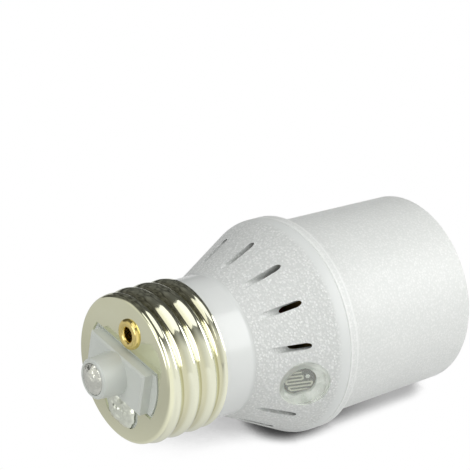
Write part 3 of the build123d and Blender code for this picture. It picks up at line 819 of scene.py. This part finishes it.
def solder_rise(x, y, share):
    """Height of the solder's top over the shell's end, where share is the way out to its edge."""
    room_above = 0.2
    plain_share = 0.72
    lump_share = 0.28
    wrinkle_height = 0.20
    crease_height = 0.08
    edge_fullness = 0.55
    dent_x = 2.5
    dent_y = 0.5
    dent_radius = 1.7
    dent_share = 0.85
    crown = solder_high.z - cap_high.z - room_above
    top = crown * (plain_share + lump_share * unevenness(x, y, *top_lumps))
    top += wrinkle_height * unevenness(x, y, *top_wrinkles) + crease_height * unevenness(x, y, *top_creases)
    round_over = (1 - share**3) ** edge_fullness
    dent = smooth_step(1 - math.hypot(x - dent_x, y - dent_y) / dent_radius)
    return max(round_over * top * (1 - dent_share * dent), 0.0)


def solder_piece():
    """Mound of solder with an uneven edge and a wrinkled top, and its plug."""
    plug_share = 0.78
    half_steps = 47
    rows = 18
    seat = cap_high.z
    outline = arc_points((0, solder_half_straight), solder_half_width, 0, 180, half_steps)
    outline += arc_points((0, -solder_half_straight), solder_half_width, 180, 360, half_steps)
    plug = [turned(solder_x + x * plug_share, solder_y + y * plug_share) for x, y in outline]
    rings = [[(x, y, height) for x, y in plug] for height in (solder_low.z, seat)]
    for row in range(rows):
        share = 1 - row / rows
        ring = []
        for x, y in outline:
            reach = share * ragged_edge(x, y)
            across = x * reach
            along = y * reach
            spot = turned(solder_x + across, solder_y + along)
            ring.append((*spot, seat + solder_rise(across, along, share)))
        rings.append(ring)
    points, faces = capped(rings)
    piece = make_piece("solder_mound", points, faces, finishes["solder"], crease=80)
    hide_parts("solder_joint")


# Socket shell: rolled sheet with a female thread, a narrower end and a riveted flange

socket_wall = 0.35
socket_neck = 12.6
socket_thread_top = 18.6
socket_thread_fade = 1.2
socket_step = 0.8
socket_flange_bore = 8.7


def socket_side(turn, height, offset):
    """Radius of the socket shell's sheet, inner or outer face by its offset."""
    plain = socket_high.x - socket_wall
    starting = smooth_step((height - socket_low.z) / socket_thread_fade)
    ending = smooth_step((socket_thread_top - height) / socket_thread_fade)
    rolled = thread_radius(turn, height, socket_low.z, socket_neck, plain)
    narrowing = smooth_step((height - socket_thread_top) / socket_step) * (plain - socket_neck)
    return plain - narrowing + (rolled - plain) * starting * ending + offset


def socket_piece():
    """Threaded socket shell as one closed sheet."""
    flange_low = socket_high.z - socket_wall
    steps = round((flange_low - socket_low.z) / ring_step)
    down_inside = (0.0, range(steps, -1, -1), flange_low)
    up_outside = (socket_wall, range(steps + 1), socket_high.z)
    rings = [circle_points(socket_flange_bore, flange_low, ring_count)]
    for offset, order, top in (down_inside, up_outside):
        for step in order:
            height = socket_low.z + (top - socket_low.z) * step / steps
            rings.append(ring_of([socket_side(turn, height, offset) for turn in ring_turns], height))
    rings.append(circle_points(socket_flange_bore, socket_high.z, ring_count))
    points, faces = lofted(rings)
    piece = make_piece("socket_thread", points, faces, finishes["socket_metal"], crease=50)
    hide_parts("socket_shell")


# Spring tongue: a bent strip with rounded ends and a pressed dimple under the lamp's tip

tongue_thickness = 0.4
tongue_half_width = 3.0
tongue_corner = 1.2
tongue_bend = 0.9
tongue_drop = 4.6
foot_z = tongue_top - tongue_thickness / 2
pad_z = foot_z - tongue_drop


def tongue_line():
    """Middle line of the strip from its riveted foot to its turned-up tip, as points of x and z."""
    foot_end_x = 7.6
    foot_bend_x = 3.8
    pad_bend_x = 1.9
    tip_bend_x = -2.7
    tip_x = -3.6
    tip_rise = 0.8
    bend_steps = 6
    corners = [
        (foot_end_x, foot_z),
        (foot_bend_x, foot_z),
        (pad_bend_x, pad_z),
        (tip_bend_x, pad_z),
        (tip_x, pad_z + tip_rise),
    ]
    return bent_line([Vector(corner) for corner in corners], tongue_bend, bend_steps)


def strip_half_width(end_room):
    """Half the strip's width at this distance from its nearer end."""
    if end_room >= tongue_corner:
        return tongue_half_width
    inset = tongue_corner - end_room
    return tongue_half_width - tongue_corner + math.sqrt(max(tongue_corner**2 - inset**2, 0.0))


def pressed(x, y, z):
    """Point of the strip, lowered by the dimple on the axis and kept under the floor."""
    dimple_radius = 1.7
    dimple_depth = 0.35
    lowered = z - dimple_depth * smooth_step(1 - math.hypot(x, y) / dimple_radius)
    return x, y, min(lowered, tongue_top)


def tongue_piece():
    """Strip that follows the bends of the contact tongue; the tongue flexes at its foot, which this script
    doesn't model.
    """
    station_count = 110
    columns = 18
    line = tongue_line()
    lengths = [0.0]
    for first, second in zip(line, line[1:]):
        lengths.append(lengths[-1] + (second - first).length)
    total = lengths[-1]
    stations = [total * step / station_count for step in range(station_count + 1)]
    sides = []
    for offset in (tongue_thickness / 2, -tongue_thickness / 2):
        grid = []
        for station in stations:
            spot, lean = along_line(line, lengths, station)
            spot = spot + Vector((-lean.y, lean.x)) * offset
            half_width = strip_half_width(min(station, total - station))
            shares = [2 * step / columns - 1 for step in range(columns + 1)]
            grid.append([pressed(spot.x, half_width * share, spot.y) for share in shares])
        sides.append(grid)
    points, faces = strip_solid(sides)
    piece = make_piece("tongue_strip", points, faces, finishes["spring_brass"], crease=50, ride=False)
    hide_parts("contact_tongue")
    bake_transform(piece)


# Camera at the photo's viewing angle

camera_place = Vector((196.5, -211.6, 244.3)) * MM
camera_right = Vector((0.17054, -0.59895, -0.78243))
camera_up = Vector((0.83676, 0.50738, -0.20601))
camera_back = Vector((0.52038, -0.61957, 0.58768))


def make_camera():
    """Long lens at the photo's place, rolled so that the holder lies on its side."""
    lens = bpy.data.cameras.new("camera")
    lens.sensor_width = 36.0
    lens.lens = 156.8
    lens.shift_x = -0.0033
    lens.shift_y = 0.0334
    lens.clip_start = 0.01
    lens.clip_end = 10.0
    camera = bpy.data.objects.new("camera", lens)
    turn = Matrix((camera_right, camera_up, camera_back)).transposed()
    camera.matrix_world = Matrix.Translation(camera_place) @ turn.to_4x4()
    scene.collection.objects.link(camera)
    scene.camera = camera


# Photocell's face: a winding track and a terminal, with the track's runs level in the camera's view

cell_middle, cell_normal = front_face("photocell")
cell_along = (camera_right - cell_normal * camera_right.dot(cell_normal)).normalized()
cell_across = cell_normal.cross(cell_along)


def on_cell(x, y, lift):
    """Point over the photocell's face, in millimetres."""
    return cell_middle + cell_along * x + cell_across * y + cell_normal * lift


def track_line():
    """Middle line of the track, which goes to and fro and leaves room for the terminal."""
    rows = 6
    spacing = 0.72
    reach = 2.3
    first_short_row = 3
    short_share = 0.25
    bend_radius = spacing * 0.2
    bend_steps = 4
    path = []
    for row in range(rows):
        y = (row - (rows - 1) / 2) * spacing
        room = math.sqrt(reach**2 - y**2)
        right = room if row < first_short_row else room * short_share
        ends = [Vector((-room, y)), Vector((right, y))]
        path += ends if row % 2 else ends[::-1]
    return bent_line(path, bend_radius, bend_steps)


def track_piece():
    """Raised winding track across the sensor."""
    half_width = 0.17
    rise = 0.06
    # Underside and top of the track's section, as shares of its half width and its rise
    sections = (
        ((-1.0, 0.0), (0.0, 0.0), (1.0, 0.0)),
        ((-0.75, 0.85), (0.0, 1.0), (0.75, 0.85)),
    )
    line = track_line()
    sides = [[], []]
    for place, spot in enumerate(line):
        lean = (line[min(place + 1, len(line) - 1)] - line[max(place - 1, 0)]).normalized()
        out = Vector((-lean.y, lean.x)) * half_width
        for grid, section in zip(sides, sections):
            grid.append([on_cell(*(spot + out * shift), rise * lift) for shift, lift in section])
    points, faces = strip_solid(sides)
    piece = make_piece("sensor_track", points, faces, finishes["sensor_track"], crease=60)


def terminal_piece():
    """Small dome of tinned metal beside the short runs of the track."""
    middle = (1.42, 0.85)
    around = 24
    profile = ((0.42, 0.0), (0.42, 0.05), (0.36, 0.12), (0.24, 0.18), (0.10, 0.21))
    rings = [
        [on_cell(*spot) for spot in circle_points(radius, lift, around, middle)] for radius, lift in profile
    ]
    points, faces = capped(rings)
    terminal = make_piece("sensor_terminal", points, faces, finishes["tinned_lead"], crease=60)


# Studio: a pale table that the holder lies on, soft lights and a pale room; its sizes are in metres

table_up = Vector((0.979, 0.191, 0.067)).normalized()
table_front = (camera_back - table_up * camera_back.dot(table_up)).normalized()
table_right = table_up.cross(table_front)
middle_of_holder = Vector((0, 0, 35.0)) * MM


def soft_box(name, right, up, front, size, power, glossy=True):
    """Round area light that faces the holder, and that the metal mirrors unless glossy is off."""
    light = bpy.data.lights.new(name, "AREA")
    light.shape = "ELLIPSE"
    light.size, light.size_y = size
    light.energy = power
    lamp = bpy.data.objects.new(name, light)
    way = table_right * right + table_up * up + table_front * front
    lamp.location = middle_of_holder + way
    lamp.rotation_mode = "QUATERNION"
    lamp.rotation_quaternion = (-way).to_track_quat("-Z", "Y")
    lamp.visible_glossy = glossy
    scene.collection.objects.link(lamp)


def open_share(tree, reach, facing):
    """Share of the half space round this direction that is free within a reach."""
    axis = add_node(tree, "ShaderNodeVectorMath", {0: facing}, operation="NORMALIZE").outputs["Vector"]
    inputs = {"Distance": reach, "Normal": axis}
    return add_node(tree, "ShaderNodeAmbientOcclusion", inputs, samples=32).outputs["AO"]


def mixed(tree, share, first, second):
    """Shader that goes from first to second."""
    return add_node(tree, "ShaderNodeMixShader", {0: share, 1: first, 2: second}).outputs[0]


def glowing(tree, strength):
    """Shader that sends out white light."""
    return add_node(tree, "ShaderNodeEmission", {"Strength": strength}).outputs[0]


def table_shade(tree, sideways):
    """Brightness of the table in view, a painted shadow: darker close under the holder and in front of its
    screw shell.
    """
    contact_reach = 0.006
    contact_open = (0.15, 0.41)
    flange_to_skirt = (-0.020, -0.002)
    darkest_range = (0.05, 0.42)
    shell_reach = 0.02
    shell_open = (0.54, 0.68)
    shell_darkest = 0.5
    shell_facing = table_up * 0.5 + table_front * 0.85
    darkest = between(tree, sideways, *flange_to_skirt, *darkest_range)
    contact_shade = between(tree, open_share(tree, contact_reach, table_up), *contact_open, darkest, 1.0)
    shell_shade = between(tree, open_share(tree, shell_reach, shell_facing), *shell_open, shell_darkest, 1.0)
    return combine(tree, "MINIMUM", contact_shade, shell_shade)


def table_glow(tree, sideways):
    """Brightness that the table glows with where the metal mirrors it, with painted shade: fainter on the
    left and under the holder.
    """
    left_to_middle = (-0.085, -0.015)
    left_glow = 0.50
    far_left = (-0.13, -0.09)
    far_left_gain = 0.10
    shelter_reach = 0.03
    shelter_open = (0.1, 0.9)
    sheltered_share = 0.62
    glow = between(tree, sideways, *left_to_middle, left_glow, 1.0)
    gain = between(tree, sideways, *far_left, far_left_gain, 0.0)
    sheltered = between(tree, open_share(tree, shelter_reach, table_up), *shelter_open, sheltered_share, 1.0)
    return times(tree, plus(tree, glow, gain), sheltered)


def table_material():
    """White table that glows in view with a painted soft shadow, which is clear from below."""
    paint_colour = (0.75, 0.75, 0.75)
    material = bpy.data.materials.new("table")
    material.use_nodes = True
    tree = material.node_tree
    tree.nodes.clear()
    ray = add_node(tree, "ShaderNodeLightPath", {}).outputs
    place = add_node(tree, "ShaderNodeNewGeometry", {}).outputs
    sideways = part_along(tree, place["Position"], table_right)
    paint = add_node(tree, "ShaderNodeBsdfDiffuse", {"Color": paint_colour}).outputs[0]
    clear = add_node(tree, "ShaderNodeBsdfTransparent", {}).outputs[0]
    bounced = mixed(tree, ray["Is Glossy Ray"], paint, glowing(tree, table_glow(tree, sideways)))
    front = mixed(tree, ray["Is Camera Ray"], bounced, glowing(tree, table_shade(tree, sideways)))
    sides = mixed(tree, place["Backfacing"], front, clear)
    add_node(tree, "ShaderNodeOutputMaterial", {"Surface": sides})
    return material


def make_table():
    """One-sided table under the flange and the mouth's rim."""
    reach = 1.2
    level = min(vertex.co.dot(table_up) for vertex in nodes["skirt"].data.vertices)
    foot = middle_of_holder + table_up * (level - middle_of_holder.dot(table_up))
    ways = ((-1, -1), (-1, 1), (1, 1), (1, -1))
    corners = [foot + (table_right * right + table_front * front) * reach for right, front in ways]
    mesh = bpy.data.meshes.new("table")
    mesh.from_pydata(corners, [], [(0, 1, 2, 3)])
    if mesh.polygons[0].normal.dot(table_up) < 0:
        mesh.flip_normals()
    table = bpy.data.objects.new("table", mesh)
    scene.collection.objects.link(table)
    table.data.materials.append(table_material())


def make_room():
    """Pale room whose white sheet, dark ceiling and dark far wall the metal mirrors."""
    wall_span = (0.1, 0.9)
    wall_left = (0.36, 0.365, 0.36)
    wall_right = (0.66, 0.66, 0.64)
    sheet_span = (-0.2, 0.5)
    sheet_left = (0.70, 0.70, 0.67)
    sheet_right = (1.0, 1.0, 0.98)
    sheet_top = (0.50, 0.75)
    ceiling_start = (0.70, 0.85)
    ceiling_colour = (0.12, 0.12, 0.115)
    far_wall_span = (-0.45, -0.12)
    streak_scale = 7.0
    streak_middle = (0.35, 0.65)
    streak_dark = (0.025, 0.025, 0.024)
    streak_pale = (0.17, 0.17, 0.165)
    backdrop = (0.93, 0.93, 0.93)
    world = bpy.data.worlds.new("room")
    world.use_nodes = True
    tree = world.node_tree
    tree.nodes.clear()
    way = add_node(tree, "ShaderNodeTexCoord", {}).outputs["Generated"]
    ray = add_node(tree, "ShaderNodeLightPath", {}).outputs
    forward = part_along(tree, way, table_front)
    sideways = part_along(tree, way, table_right)
    upward = part_along(tree, way, table_up)
    pale_wall = blended(tree, between(tree, sideways, *wall_span), wall_left, wall_right)
    white_sheet = blended(tree, between(tree, sideways, *sheet_span), sheet_left, sheet_right)
    inputs = {"Vector": way, "Scale": streak_scale, "Detail": 3.0}
    streaks = add_node(tree, "ShaderNodeTexNoise", inputs).outputs["Fac"]
    far_wall = blended(tree, between(tree, streaks, *streak_middle), streak_dark, streak_pale)
    on_sheet = times(tree, until(tree, upward, *sheet_top), ray["Is Glossy Ray"])
    on_ceiling = times(tree, between(tree, upward, *ceiling_start), ray["Is Glossy Ray"])
    with_sheet = blended(tree, on_sheet, pale_wall, white_sheet)
    with_ceiling = blended(tree, on_ceiling, with_sheet, ceiling_colour)
    walls = blended(tree, until(tree, forward, *far_wall_span), with_ceiling, far_wall)
    shown = blended(tree, ray["Is Camera Ray"], walls, backdrop)
    room = add_node(tree, "ShaderNodeBackground", {"Color": shown})
    add_node(tree, "ShaderNodeOutputWorld", {"Surface": room.outputs[0]})
    scene.world = world


make_camera()
make_table()
make_room()
soft_box("key_light", right=0.52, up=0.31, front=0.06, size=(0.56, 0.56), power=2.0)
soft_box("left_light", right=-0.45, up=0.30, front=0.50, size=(0.60, 0.50), power=1.25)
soft_box("top_light", right=-0.10, up=0.70, front=0.20, size=(0.60, 0.60), power=1.1)
soft_box("back_light", right=-0.40, up=0.15, front=-0.55, size=(0.60, 0.50), power=0.7, glossy=False)
scene.view_settings.view_transform = "Standard"

paint_nodes()
screw_shell()
eyelet_piece()
solder_piece()
socket_piece()
tongue_piece()
track_piece()
terminal_piece()
